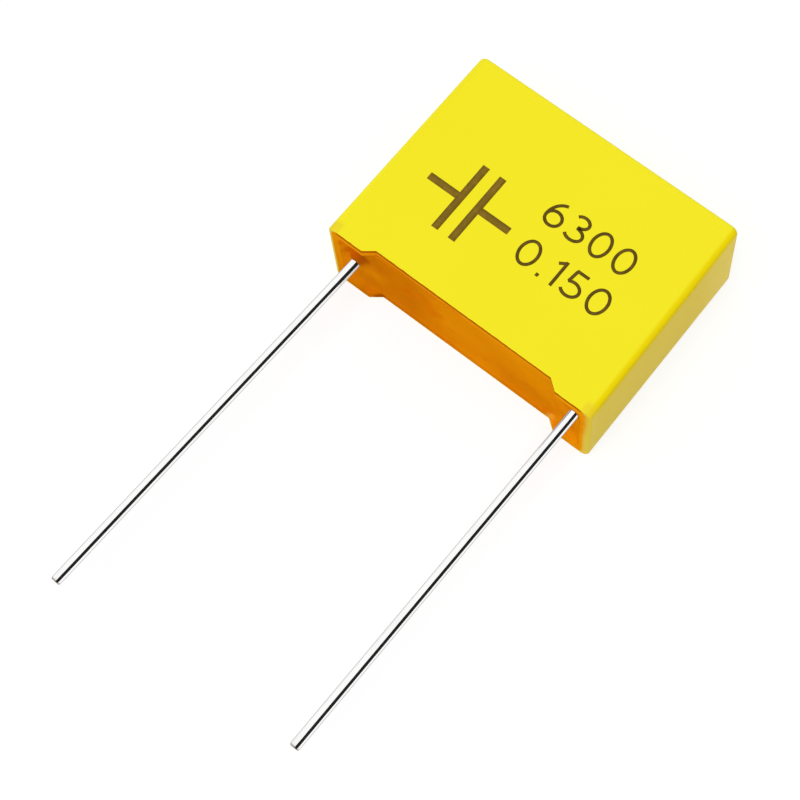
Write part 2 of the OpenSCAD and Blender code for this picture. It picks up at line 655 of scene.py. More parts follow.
@dataclass(frozen=True)
class CasePlastic:
    """Yellow moulded plastic, with resin left on the rims of its open side.

    A span says where a zone begins and where it is full. Spans along X count inwards from the ends
    of the case's box, those of the right wall outwards from its drafted face, the front's and the
    back's from those faces, those along Y from the middle, and those of the line, the streak and
    the rims' depth inwards from the outer walls.
    """

    half_width: float
    half_height: float
    thickness: float
    edge_radius: float
    draft: float
    lean: float
    yellow: Colour = (0.890, 0.795, 0.022)
    deep_yellow: Colour = (0.875, 0.770, 0.018)
    # Lighter yellow for the painted highlight on the left arris and the painted light on the top edge.
    edge_yellow: Colour = (0.970, 0.870, 0.022)
    # Deeper yellow for the painted shade on the fillet before the right wall.
    strip_yellow: Colour = (0.845, 0.670, 0.003)
    # Darker, warmer yellow for the painted shade on the right wall.
    end_yellow: Colour = (0.775, 0.580, 0.003)
    # Lighter, whiter yellow for a painted sheen on the right wall towards the closed end.
    end_light: Colour = (0.860, 0.660, 0.050)
    # Deeper yellow for the painted shade on the bare rims at the tips of the feet.
    rim_yellow: Colour = (0.800, 0.600, 0.030)
    # Dark red-brown for the painted shade line along the front rim.
    line: Colour = (0.43, 0.075, 0.001)
    streak: Colour = (0.95, 0.37, 0.012)
    cloud: float = 5 * MM
    grain: float = 0.12 * MM
    wave: float = 3 * MM
    right_strip: Span = (-0.44 * MM, -0.20 * MM)
    right_wall: Span = (-0.16 * MM, -0.04 * MM)
    wall_light: Span = (-0.10 * MM, 0.0)
    left_edge: Span = (0.5 * MM, 0.2 * MM)
    top_edge: Span = (6.42 * MM, 6.65 * MM)
    far_end: Span = (2 * MM, 7 * MM)
    foot_tips: Span = (-5.9 * MM, -6.3 * MM)
    rim_ends: Span = (0.8 * MM, 0.6 * MM)
    rim_depth: Span = (-0.10 * MM, 0.10 * MM)
    film_end: Span = (-4 * MM, -5 * MM)
    film_margin: float = 0.02 * MM
    right_margin: float = 0.14 * MM
    left_margin: float = 0.20 * MM
    back_margin: float = 0.04 * MM
    film_soft: float = 0.03 * MM
    right_soft: float = 0.50 * MM
    film_wander: float = 0.06 * MM
    film_bay: float = 0.4 * MM
    film_right: Span = (0.75 * MM, 0.35 * MM)
    film_left: Span = (0.60 * MM, 0.30 * MM)
    film_low: Span = (1.5 * MM, 4.0 * MM)
    film_back: Span = (0.5 * MM, 0.2 * MM)
    film_front: Span = (0.7 * MM, 0.5 * MM)
    front_ends: Span = (0.5 * MM, 0.75 * MM)
    line_in: Span = (0.01 * MM, 0.03 * MM)
    line_out: Span = (0.30 * MM, 0.22 * MM)
    streak_in: Span = (0.26 * MM, 0.34 * MM)
    streak_out: Span = (0.62 * MM, 0.45 * MM)
    line_share: float = 0.85
    streak_share: float = 0.4
    roughness: float = 0.26
    relief: float = 0.012 * MM
    gloss: float = 0.015
    resin: CastResin = CastResin()

    def inside(self, graph: ShaderGraph) -> Signal:
        """Measures how far a point lies inside the outer walls.

        Args:
            graph: The tree that it goes to.

        Returns:
            The distance in metres, which is negative outside the rounded corners.
        """
        x, _, z = graph.split(graph.place)
        half_t = self.thickness / 2
        across = abs(x) - (self.half_width - self.edge_radius)
        along = abs(z - half_t) - (half_t - self.edge_radius)
        corner = across.at_least(0.0).length(along.at_least(0.0))
        return self.edge_radius - corner - across.at_least(along).at_most(0.0)

    def film(self, graph: ShaderGraph, depth: Signal) -> Signal:
        """Where resin covers the plastic, from 0 to 1.

        Args:
            graph: The tree that it goes to.
            depth: How far a point lies inside the outer walls.

        Returns:
            The cover. It stays off each outer edge, and furthest off the left and right ones.
        """
        x, y, z = graph.split(graph.place)
        right = (self.half_width - x).step(*self.film_right)
        left = (x + self.half_width).step(*self.film_left)
        low = (self.thickness - z).step(*self.film_low)
        margin = (right * low * self.right_margin + left * self.left_margin
                  + z.step(*self.film_back) * self.back_margin + self.film_margin)
        ragged = (graph.grain(self.film_bay, 3) - 0.5) * self.film_wander
        cover = (depth + ragged - margin) / (right * self.right_soft + self.film_soft)
        return cover.step(0, 1) * y.step(*self.film_end)

    def coat(self, graph: ShaderGraph, depth: Signal) -> Signal:
        """The colour of the resin on the rims.

        Args:
            graph: The tree that it goes to.
            depth: How far a point lies inside the outer walls.

        Returns:
            The resin's colour, with a painted shade line and a pale streak along the front.
        """
        x, _, z = graph.split(graph.place)
        front = ((self.thickness - z).step(*self.film_front)
                 * (self.half_width - abs(x)).step(*self.front_ends))
        # Painted shade: a dark line along the front rim, just inside its outer edge.
        line = depth.step(*self.line_in) * depth.step(*self.line_out)
        streak = depth.step(*self.streak_in) * depth.step(*self.streak_out)
        lit = graph.blend(streak * front * self.streak_share, self.resin.colour(graph), self.streak)
        return graph.blend(line * front * self.line_share, lit, self.line)

    def plastic(self, graph: ShaderGraph, depth: Signal) -> Signal:
        """The colour of the bare plastic.

        Args:
            graph: The tree that it goes to.
            depth: How far a point lies inside the outer walls.

        Returns:
            Yellow, with painted light along the left and the top edge, a painted sheen on the right
            wall towards the closed end, and painted shade on the right wall, on the edge before it and
            on the tips of the feet.
        """
        x, y, z = graph.split(graph.place)
        tilt = (z * (self.lean / self.thickness) + self.draft) * (0.5 / self.half_height)
        out = x - self.half_width + (y + self.half_height) * tilt
        # Painted shade on the fillet before the right wall.
        strip = out.step(*self.right_strip)
        # Painted light along the left and the top edge.
        edge = (x + self.half_width).step(*self.left_edge)
        edge = edge.at_least(y.step(*self.top_edge) * (1 - strip))
        # Painted sheen on the right wall towards the closed end.
        far = y.step(*self.far_end) * out.step(*self.wall_light)
        # Painted shade on the bare rims at the tips of the feet.
        tips = (self.half_width - abs(x)).step(*self.rim_ends) * y.step(*self.foot_tips)
        tips = tips * depth.step(*self.rim_depth)
        colour = graph.blend(graph.grain(self.cloud), self.yellow, self.deep_yellow)
        # The right wall's colour is painted shade, with a painted sheen towards the closed end.
        for share, other in ((edge, self.edge_yellow), (strip, self.strip_yellow),
                             (out.step(*self.right_wall),
                              graph.blend(far, self.end_yellow, self.end_light)),
                             (tips, self.rim_yellow)):
            colour = graph.blend(share, colour, other)
        return colour

    def material(self) -> Material:
        """The case's plastic, and the resin on its rims.

        Returns:
            The material.
        """
        graph = ShaderGraph("moulded_yellow")
        depth = self.inside(graph)
        grain = graph.grain(self.grain)
        wave = graph.grain(self.wave, seed=SEED + 3)
        bare = graph.principled(
            Base_Color=self.plastic(graph, depth),
            Roughness=self.roughness + grain * 0.08,
            Normal=graph.bump(grain * 0.25 + wave * 0.75, self.relief),
            Specular_IOR_Level=self.gloss,
        )
        coated = self.resin.shader(graph, self.coat(graph, depth))
        return graph.end(graph.mix(self.film(graph, depth), bare, coated))


@dataclass(frozen=True)
class TinnedWire:
    """Bright tin plate on drawn wire, bare where the tip was cut."""

    tin: Colour = (0.97, 0.97, 0.965)
    dull: Colour = (0.92, 0.92, 0.915)
    core: Colour = (0.42, 0.36, 0.31)
    edge: float = 0.15
    roughness: float = 0.04
    cut_roughness: float = 0.3
    scratch: float = 0.05 * MM
    relief: float = 0.0015 * MM
    wear: float = 0.5 * MM
    worn_part: Span = (0.45, 0.75)

    def material(self) -> Material:
        """The wire's metal.

        Returns:
            The material.
        """
        graph = ShaderGraph("bright_tin")
        drawn = graph.streaks((1, 0.02, 1), self.scratch, 3)
        worn = graph.streaks((1, 0.3, 1), self.wear, seed=SEED + 4)
        cut = graph.attribute("cut_end")
        tin = graph.blend(worn.step(*self.worn_part), self.tin, self.dull)
        return graph.end(graph.principled(
            Base_Color=graph.blend(cut, tin, self.core),
            Metallic=1.0,
            Roughness=self.roughness + worn * 0.03 + cut * self.cut_roughness,
            Normal=graph.bump(drawn, self.relief, 0.3),
            Specular_Tint=(self.edge, self.edge, self.edge, 1),
        ))


@dataclass(frozen=True)
class SprayedZinc:
    """Zinc sprayed in droplets: matt and grainy."""

    zinc: Colour = (0.50, 0.51, 0.53)
    shade: Colour = (0.30, 0.31, 0.33)
    droplet: float = 0.12 * MM
    bright_part: Span = (0.3, 0.7)
    roughness: float = 0.5
    relief: float = 0.03 * MM

    def material(self) -> Material:
        """The sprayed metal.

        Returns:
            The material.
        """
        graph = ShaderGraph("zinc_spray")
        grain = graph.grain(self.droplet, 4)
        cells = graph.make("ShaderNodeTexVoronoi", output="Distance", inputs={
            "Vector": graph.place, "Scale": 1 / self.droplet})
        return graph.end(graph.principled(
            Base_Color=graph.blend(grain.step(*self.bright_part), self.shade, self.zinc),
            Metallic=1.0,
            Roughness=self.roughness + grain * 0.25,
            Normal=graph.bump(grain * 0.5 - cells * 0.5, self.relief),
        ))


@dataclass(frozen=True)
class FilmFinish:
    """Film wound in turns, whose edges show as fine bands."""

    name: str
    face: Colour
    edge: Colour
    metallic: float
    crease: float = 0.8 * MM
    band_edge: Span = (0.28, 0.42)
    roughness: float = 0.16
    relief: float = 0.02 * MM

    def material(self) -> Material:
        """The film.

        Returns:
            The material.
        """
        graph = ShaderGraph(self.name)
        band = graph.attribute("turn").math("FRACT")
        stripe = abs(band - 0.5).step(*self.band_edge)
        crease = graph.streaks((0.2, 1, 1), self.crease, 3)
        return graph.end(graph.principled(
            Base_Color=graph.blend(stripe * 0.5 + crease * 0.2, self.face, self.edge),
            Metallic=self.metallic,
            Roughness=self.roughness + crease * 0.2,
            Normal=graph.bump(crease, self.relief),
        ))


METALLISED_FILM = FilmFinish("wound_film", (0.72, 0.74, 0.76), (0.30, 0.31, 0.33), 0.85)
CLEAR_FILM = FilmFinish("clear_wrap", (0.88, 0.86, 0.78), (0.62, 0.56, 0.42), 0.0)


@dataclass(frozen=True)
class MarkingInk:
    """Brown ink, a little uneven."""

    name: str
    ink: Colour
    thin: Colour
    wear: float = 0.35 * MM
    thin_part: Span = (0.42, 0.68)
    roughness: float = 0.45
    gloss: float = 0.18

    def material(self) -> Material:
        """The ink.

        Returns:
            The material.
        """
        graph = ShaderGraph(self.name)
        wear = graph.grain(self.wear, 4)
        return graph.end(graph.principled(
            Base_Color=graph.blend(wear.step(*self.thin_part), self.ink, self.thin),
            Roughness=self.roughness + wear * 0.15,
            Specular_IOR_Level=self.gloss,
        ))


FULL_INK = MarkingInk("brown_ink", (0.098, 0.056, 0.003), (0.150, 0.088, 0.006))
THIN_INK = MarkingInk("brown_ink_thin", (0.190, 0.110, 0.006), (0.235, 0.140, 0.010))


# ------------------------------------------------------------ sub-assemblies


@dataclass
class Case:
    """The moulded box with its two standoff feet."""

    edge_radius: float = 0.5 * MM
    arris: float = 0.05 * MM
    left_round: float = 0.16 * MM
    right_round: float = 0.22 * MM
    segments: int = 5
    draft: float = 0.12 * MM
    lean: float = 0.12 * MM
    slack: float = 0.05 * MM
    sink: float = 0.01 * MM

    def build(self) -> Piece:
        """Makes the case with every sharp edge rounded.

        Returns:
            The case. Its ends lean in towards the closed end by the mould's draft, and its marked
            face lies lower by sink, to leave room for the ink in the case's box.
        """
        mesh = merged_copy("case")
        self.weigh(mesh)
        low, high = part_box("case")
        border = self.edge_radius + self.slack
        for vertex in mesh.vertices:
            place = vertex.co
            if abs(place.x) > high.x - border:
                taken = self.draft + (self.lean * place.z / high.z if place.x > 0 else 0)
                taken *= (place.y - low.y) / (high.y - low.y)
                place.x -= math.copysign(taken, place.x)
            if place.z > high.z - border:
                place.z -= self.sink
        mesh.shade_smooth()
        piece = new_object("moulded_case", mesh)
        rounding = piece.modifiers.new("rounding", "BEVEL")
        rounding.width = self.right_round
        rounding.segments = self.segments
        rounding.limit_method = "WEIGHT"
        rounding.use_clamp_overlap = False
        piece.modifiers.new("even_light", "WEIGHTED_NORMAL").weight = 100
        bake_modifiers(piece)
        return piece

    def weigh(self, mesh: Mesh) -> None:
        """Gives each sharp edge its rounding, as a share of the widest one.

        Args:
            mesh: The case, which is changed. Only the outer edges of the feet's tips get more than
                an arris, and the most at the ends.
        """
        low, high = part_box("case")
        middle_z = (low.z + high.z) / 2
        work = bmesh.new()
        work.from_mesh(mesh)
        share = work.edges.layers.float.new("bevel_weight_edge")
        for edge in work.edges:
            if edge.calc_face_angle(0.0) < SHARP_ANGLE:
                continue
            middle = (edge.verts[0].co + edge.verts[1].co) / 2
            out = Vector((middle.x, 0, middle.z - middle_z))
            outer = any(face.normal.dot(out) > FACING * out.length for face in edge.link_faces)
            width = self.arris
            if outer and middle.y < low.y + WELD_DISTANCE:
                turn = (abs(middle.x) - high.x + self.edge_radius) / self.edge_radius
                end = self.right_round if middle.x > 0 else self.left_round
                width += (end - self.arris) * min(max(turn, 0), 1) ** 2
            edge[share] = width / self.right_round
        work.to_mesh(mesh)
        work.free()

    def dress(self, piece: Piece) -> None:
        """Gives the case its plastic, which the wires don't mirror.

        Args:
            piece: The case.
        """
        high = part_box("case")[1]
        plastic = CasePlastic(high.x, high.y, high.z, self.edge_radius, self.draft, self.lean)
        stand_in(piece, Slot.CASE, plastic.material(), "case")
        piece.visible_glossy = False


@dataclass
class Leads:
    """Two wires, each flattened where it is welded and round from there to its cut tip."""

    radius: float = 0.3 * MM
    bend_radius: float = 1.5 * MM
    chamfer: float = 0.06 * MM
    weld_offset: float = 0.25 * MM
    weld_thickness: float = 0.3 * MM
    weld_width: float = 0.95 * MM
    transition: float = 0.9 * MM
    weld_start: float = -1.9 * MM
    tip_round: float = 0.12
    rings: int = 260
    facets: int = 48

    def tree(self) -> Tree:
        """The rule for a wire: a path swept round, rounded at its tip and flattened at its weld.

        Returns:
            The tree.
        """
        graph = ShapeGraph("drawn_wire")
        radius, bend, chamfer, axis_x, axis_z, side = graph.ask(
            "Radius", "Bend Radius", "Chamfer", "Axis X", "Axis Z", "Side")
        start, length, offset, thickness, width = graph.ask(
            "Weld Start", "Transition", "Weld Offset", "Weld Thickness", "Weld Width")
        line = graph.shape("MeshToCurve", Mesh=graph.given("Geometry"))
        bent = graph.shape("FilletCurve", Curve=line, Radius=bend, Limit_Radius=True)
        even = graph.shape("ResampleCurve", Curve=bent, Count=self.rings)
        run = (graph.shape("SplineLength", output="Length")
               - graph.shape("SplineParameter", output="Length"))
        tip = (1 - run / chamfer).at_least(0.0)
        marked = graph.node("GeometryNodeCaptureAttribute", inputs={"Geometry": even})
        item = marked.capture_items.new("FLOAT", "run")
        graph.tree.links.new(run.socket, marked.inputs[item.name])
        profile = graph.shape("CurvePrimitiveCircle", Resolution=self.facets, Radius=radius)
        swept = graph.shape("CurveToMesh", Curve=graph.out(marked), Profile_Curve=profile,
                            Fill_Caps=True, Scale=1 - tip * tip * self.tip_round)
        x, y, z = graph.split(graph.shape("InputPosition"))
        press = ((y - start) / length).at_least(0.0).at_most(1.0)
        press = press * press * (3 - press * 2)
        thin, wide = (1 + press * (size / (radius * 2) - 1) for size in (thickness, width))
        middle = axis_x - side * offset * press
        moved = graph.join(middle + (x - axis_x) * thin, y, axis_z + (z - axis_z) * wide)
        pressed = graph.shape("SetPosition", Geometry=swept, Position=moved,
                              Selection=y.math("GREATER_THAN", start))
        cut = graph.out(marked, 1).math("LESS_THAN", chamfer * 0.5)
        return graph.finish(graph.store(pressed, "cut_end", cut))

    def build(self, side: Side, tree: Tree, material: Material) -> Piece:
        """Makes one wire along its mount's axis.

        Args:
            side: Which end of the part it is on.
            tree: The rule from tree().
            material: The wire's metal.

        Returns:
            The wire.
        """
        node = f"lead_{side.word}"
        pin = mount(node)
        foot = Vector(pin["pos_m"])
        length = pin["dims"]["length_mm"] * MM + self.chamfer
        tip = foot + Vector(pin["axis"]).normalized() * length
        top = Vector((foot.x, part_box(node)[1].y, foot.z))
        piece = new_object(f"wire_{side.word}", path_mesh(node, [[top, foot, tip]]))
        grow(piece, tree, **sizes(self), Axis_X=foot.x, Axis_Z=foot.z, Side=float(side.value),
             Material=material)
        shade(piece.data, 60)
        return piece

    def dress(self, piece: Piece, side: Side, material: Material) -> None:
        """Lets the wire stand for its node."""
        stand_in(piece, Slot.WIRE, material, f"lead_{side.word}")


@dataclass
class WoundElement:
    """The film roll, pressed flat, with its wrap and its two sprayed ends."""

    turns: int = 13
    wrap_turns: int = 2
    core: float = 0.1 * MM
    steps: int = 72
    slack: float = 0.985
    lump: float = 0.35 * MM
    lump_depth: float = 0.05 * MM
    skin_step: float = 0.07 * MM

    def tree(self) -> Tree:
        """The rule for film wound flat: a spiral of flattened turns, swept by the film's section.

        Returns:
            The tree.
        """
        graph = ShapeGraph("flat_winding")
        turns, inner, outer, straight, width, film = graph.ask(
            "Turns", "Inner", "Outer", "Straight", "Width", "Film")
        steps = graph.ask("Steps", kind="Int")[0]
        middle = graph.ask("Middle", kind="Vector")[0]
        line = graph.shape("MeshLine", Count=turns * steps + 1, Offset=(0, 0, 0))
        turn = graph.shape("InputIndex") / steps
        reach = inner + (outer - inner) * (turn / turns)
        angle = (turn + 0.5 / self.steps) * (2 * math.pi)
        run, rise = angle.math("COSINE"), angle.math("SINE")
        along = run * reach + run.math("SIGN") * straight
        placed = graph.shape("SetPosition", Geometry=line,
                             Position=graph.join(rise * reach, along, 0.0))
        swept = graph.ribbon(graph.store(placed, "turn", turn), film, width)
        return graph.finish(graph.shape("Transform", Geometry=swept, Translation=middle,
                                        Rotation=(0, math.radians(90), 0)))

    def roll(self, name: str, node: str, tree: Tree, turns: int, inner: float,
             material: Material) -> Piece:
        """Makes one winding that fills a node's box.

        Args:
            name: The piece's name.
            node: The node that gives the outer size.
            tree: The rule from tree().
            turns: How many turns it has.
            inner: The half thickness at the start of the first turn.
            material: Its finish.

        Returns:
            The winding.
        """
        low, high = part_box(node)
        half = (high.z - low.z) / 2
        film = (half - inner) / turns * self.slack
        piece = new_object(name, bpy.data.meshes.new(name))
        grow(piece, tree, Turns=float(turns), Steps=self.steps, Inner=inner + film / 2,
             Outer=half - film / 2, Straight=(high.y - low.y) / 2 - half,
             Width=high.x - low.x, Film=film, Middle=(low + high) / 2, Material=material)
        fix_normals(piece.data)
        shade(piece.data, 40)
        return piece

    def spray_tree(self) -> Tree:
        """The rule for sprayed metal: the skin sinks by an uneven depth and stays in its box.

        Returns:
            The tree.
        """
        graph = ShapeGraph("sprayed_skin")
        lump, depth = graph.ask("Lump", "Lump Depth")
        lumps = graph.noise(graph.shape("InputPosition"), lump, detail=3)
        offset = graph.make("ShaderNodeVectorMath", {"operation": "SCALE"}, {
            "Vector": graph.shape("InputNormal"), "Scale": lumps * depth * -1})
        return graph.finish(graph.shape("SetPosition", Geometry=graph.given("Geometry"),
                                        Offset=offset))

    def spray(self, side: Side, tree: Tree, material: Material) -> Piece:
        """Makes one sprayed end.

        Args:
            side: Which end of the part it is on.
            tree: The rule from spray_tree().
            material: Its finish.

        Returns:
            The sprayed end.
        """
        piece = new_object(f"sprayed_end_{side.word}", merged_copy(f"end_spray_{side.word}"))
        even = piece.modifiers.new("even", "REMESH")
        even.mode = "VOXEL"
        even.voxel_size = self.skin_step
        bake_modifiers(piece)
        grow(piece, tree, **sizes(self), Material=material)
        shade(piece.data, 60)
        return piece

    def build(self) -> None:
        """Makes and dresses the winding, its wrap and the sprayed ends."""
        tree = self.tree()
        low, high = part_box("winding")
        silver, clear = METALLISED_FILM.material(), CLEAR_FILM.material()
        core = self.roll("film_winding", "winding", tree, self.turns, self.core, silver)
        stand_in(core, Slot.METALLISED, silver, "winding")
        wrap = self.roll("film_wrap", "cover_wrap", tree, self.wrap_turns, (high.z - low.z) / 2,
                         clear)
        stand_in(wrap, Slot.PLAIN_FILM, clear, "cover_wrap")
        spray_tree, zinc = self.spray_tree(), SprayedZinc().material()
        for side in Side:
            stand_in(self.spray(side, spray_tree, zinc), Slot.SPRAY, zinc, f"end_spray_{side.word}")


@dataclass
class Potting:
    """The resin: a cast block whose open face climbs the walls and the wires."""

    corner: float = 0.3 * MM
    spacing: float = 0.1 * MM
    tilt: float = 0.012
    wall_rise: float = 0.13 * MM
    wall_reach: float = 0.25 * MM
    foot_rise: float = 0.38 * MM
    foot_span: Span = (5.9 * MM, 7.2 * MM)
    end_rise: float = 0.22 * MM
    end_span: Span = (7.2 * MM, 8.2 * MM)
    end_spread: float = 0.8
    left_rise: float = 0.36 * MM
    left_reach: float = 0.45 * MM
    right_rise: float = 0.12 * MM
    right_reach: float = 0.20 * MM
    wave: float = 0.05 * MM
    wave_size: float = 2.2 * MM
    overlap: float = 0.01 * MM
    arc_steps: int = 32

    def tree(self) -> Tree:
        """The rule for the cast block: a grid whose height follows the walls, the wires and a wave.

        Returns:
            The tree.
        """
        graph = ShapeGraph("cast_resin")
        half_x, half_z, middle_z, corner, level, floor, tilt, wave, wave_size = graph.ask(
            "Half X", "Half Z", "Middle Z", "Corner", "Level", "Floor", "Tilt", "Wave", "Wave Size")
        wall_rise, wall_reach, foot_rise, end_rise, wire_x, wire_radius = graph.ask(
            "Wall Rise", "Wall Reach", "Foot Rise", "End Rise", "Wire X", "Wire Radius")
        left_rise, left_reach, right_rise, right_reach = graph.ask(
            "Left Rise", "Left Reach", "Right Rise", "Right Reach")
        columns, rows = graph.ask("Columns", "Rows", kind="Int")
        grid = graph.shape("MeshGrid", Size_X=half_x * 2, Size_Y=half_z * 2, Vertices_X=columns,
                           Vertices_Y=rows)
        raw_x, raw_z, _ = graph.split(graph.shape("InputPosition"))
        core_x, core_z = half_x - corner, half_z - corner
        over_x = (abs(raw_x) - core_x).at_least(0.0)
        over_z = (abs(raw_z) - core_z).at_least(0.0)
        shrink = over_x.at_least(over_z) / over_x.length(over_z).at_least(TINY)
        round_x = abs(raw_x).at_most(core_x) + over_x * shrink
        round_z = abs(raw_z).at_most(core_z) + over_z * shrink
        x, z = round_x * raw_x.math("SIGN"), round_z * raw_z.math("SIGN")
        end = x.step(*self.end_span)
        rise = wall_rise + (abs(x).step(*self.foot_span) * foot_rise + end * end_rise)
        wall = (half_x - round_x).at_most(half_z - round_z)
        climb = (wall / (wall_reach * (1 + end * self.end_spread))).fade() * rise
        away = ((abs(x) - wire_x).length(z) - wire_radius).at_least(0.0)
        near_left, near_right = away / left_reach, away / right_reach
        left, right = (near_left * near_left).fade(), (near_right * near_right).fade()
        left, right = left * left_rise, right * right_rise
        mound = left + (right - left) * x.math("GREATER_THAN", 0.0)
        swell = graph.noise(graph.join(x, z, 0.0), wave_size, detail=1) - 0.5
        height = level + x * tilt - climb.at_least(mound) + swell * wave
        shaped = graph.shape("SetPosition", Geometry=grid,
                             Position=graph.join(x, height, z + middle_z))
        pushed = graph.node("GeometryNodeExtrudeMesh", inputs={
            "Mesh": shaped, "Offset": graph.join(0.0, 1.0, 0.0), "Offset Scale": MM,
            "Individual": False})
        far_x, _, far_z = graph.split(graph.shape("InputPosition"))
        far = graph.shape("SetPosition", Geometry=graph.out(pushed, "Mesh"),
                          Selection=graph.out(pushed, "Top"),
                          Position=graph.join(far_x, floor, far_z))
        joined = graph.node("GeometryNodeJoinGeometry")
        for part in (far, graph.shape("FlipFaces", Mesh=shaped)):
            graph.tree.links.new(part.socket, joined.inputs[0])
        return graph.finish(graph.shape("MergeByDistance", Geometry=graph.out(joined),
                                        Distance=WELD_DISTANCE))

    def build(self, wires: list[Piece], wire_radius: float, material: Material) -> Piece:
        """Makes the resin round the wound element and the wires.

        Args:
            wires: The wires that pass through it.
            wire_radius: Their radius.
            material: The resin's finish.

        Returns:
            The resin.
        """
        low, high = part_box("potting")
        middle = (low + high) / 2
        half_x, half_z = high.x - middle.x, high.z - middle.z
        piece = new_object("cast_potting", bpy.data.meshes.new("cast_potting"))
        grow(piece, self.tree(), **sizes(self), Half_X=half_x, Half_Z=half_z, Middle_Z=middle.z,
             Columns=round(2 * half_x / self.spacing) + 1, Rows=round(2 * half_z / self.spacing) + 1,
             Level=low.y, Floor=high.y, Wire_X=mount("lead_right")["pos_m"][0],
             Wire_Radius=wire_radius, Material=material)
        fix_normals(piece.data)
        element = new_object("element_space", self.element_space())
        for cutter in [element, *wires]:
            cut = piece.modifiers.new("hollow", "BOOLEAN")
            cut.operation = "DIFFERENCE"
            cut.solver = "EXACT"
            cut.object = cutter
            bake_modifiers(piece)
        bpy.data.objects.remove(element)
        shade(piece.data, 45)
        return piece

    def element_space(self) -> Mesh:
        """Makes the outer form of the wound element with its sprayed ends.

        Returns:
            A closed mesh.
        """
        low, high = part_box("end_spray_left")[0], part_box("end_spray_right")[1]
        low.x -= self.overlap
        high.x += self.overlap
        middle, radius = (low + high) / 2, (high.z - low.z) / 2
        straight = (high.y - low.y) / 2 - radius
        work = bmesh.new()
        rim = []
        for end in (1, -1):
            for step in range(self.arc_steps + 1):
                angle = math.pi * step / self.arc_steps
                rim.append(work.verts.new((
                    low.x, middle.y + end * (straight + radius * math.sin(angle)),
                    middle.z + end * radius * math.cos(angle))))
        made = bmesh.ops.extrude_face_region(work, geom=[work.faces.new(rim)])["geom"]
        moved = [v for v in made if isinstance(v, bmesh.types.BMVert)]
        bmesh.ops.translate(work, verts=moved, vec=(high.x - low.x, 0, 0))
        bmesh.ops.recalc_face_normals(work, faces=work.faces)
        mesh = bpy.data.meshes.new("element_space")
        work.to_mesh(mesh)
        work.free()
        return mesh

    def dress(self, piece: Piece, material: Material) -> None:
        """Lets the resin stand for its node. The wires don't mirror it."""
        stand_in(piece, Slot.RESIN, material, "potting")
        piece.visible_glossy = False


def bow(middle: Point, radii: Point, start: float, end: float, steps: int = 40) -> Stroke:
    """Draws a stroke along an ellipse.

    Args:
        middle: The ellipse's middle.
        radii: Its radii along X and Y.
        start: The angle where the stroke starts, in degrees.
        end: The angle where it ends.
        steps: How many straight pieces it has.

    Returns:
        The stroke's points.
    """
    angles = [math.radians(start + (end - start) * i / steps) for i in range(steps + 1)]
    return [(middle[0] + radii[0] * math.cos(a), middle[1] + radii[1] * math.sin(a))
            for a in angles]


@dataclass(frozen=True)
class Numerals:
    """Plain round numerals drawn with a pen of even width, 1 high."""

    pen: float = 0.112
    space: float = 0.22

    def digit(self, name: str) -> tuple[float, list[Stroke]]:
        """Draws one numeral.

        Args:
            name: The numeral, or a full stop.

        Returns:
            Its width, and the middle lines of its strokes.
        """
        low, high = self.pen / 2, 1 - self.pen / 2
        if name == "0":
            return 0.74, [bow((0.37, 0.5), (0.37 - low, 0.5 - low), 0, 360)]
        if name == "1":
            return 0.30, [[(0.25, low * 0.2), (0.25, 1.0)], [(0.02, 0.80), (0.25, high)]]
        if name == "3":
            return 0.66, [bow((0.29, 0.755), (0.27, 0.255 - low), 150, -90)
                          + bow((0.29, 0.28), (0.33, 0.28 - low), 90, -150)]
        if name == "5":
            return 0.66, [[(0.12, high), (0.58, high)], [(0.155, high), (0.10, 0.50)],
                          bow((0.30, 0.31), (0.32, 0.31 - low), 132, -150)]
        if name == "6":
            return 0.72, [bow((0.62, 0.33), (0.62 - low, high - 0.33), 100, 180),
                          bow((0.36, 0.32), (0.36 - low, 0.32 - low), 0, 360)]
        return 0.12, [[(0.06, 0.0), (0.06, 0.12)]]

    def row(self, text: str) -> tuple[float, list[Stroke]]:
        """Draws a row of numerals.

        Args:
            text: The row.

        Returns:
            Its width and its strokes.
        """
        strokes, at = [], 0.0
        for name in text:
            width, lines = self.digit(name)
            strokes += [[(at + x, y) for x, y in line] for line in lines]
            at += width + self.space
        return at - self.space, strokes


@dataclass(frozen=True)
class Row:
    """One row of plain digits: its text, where it starts and ends, and its baseline."""

    digits: str
    left: float
    right: float
    base: float


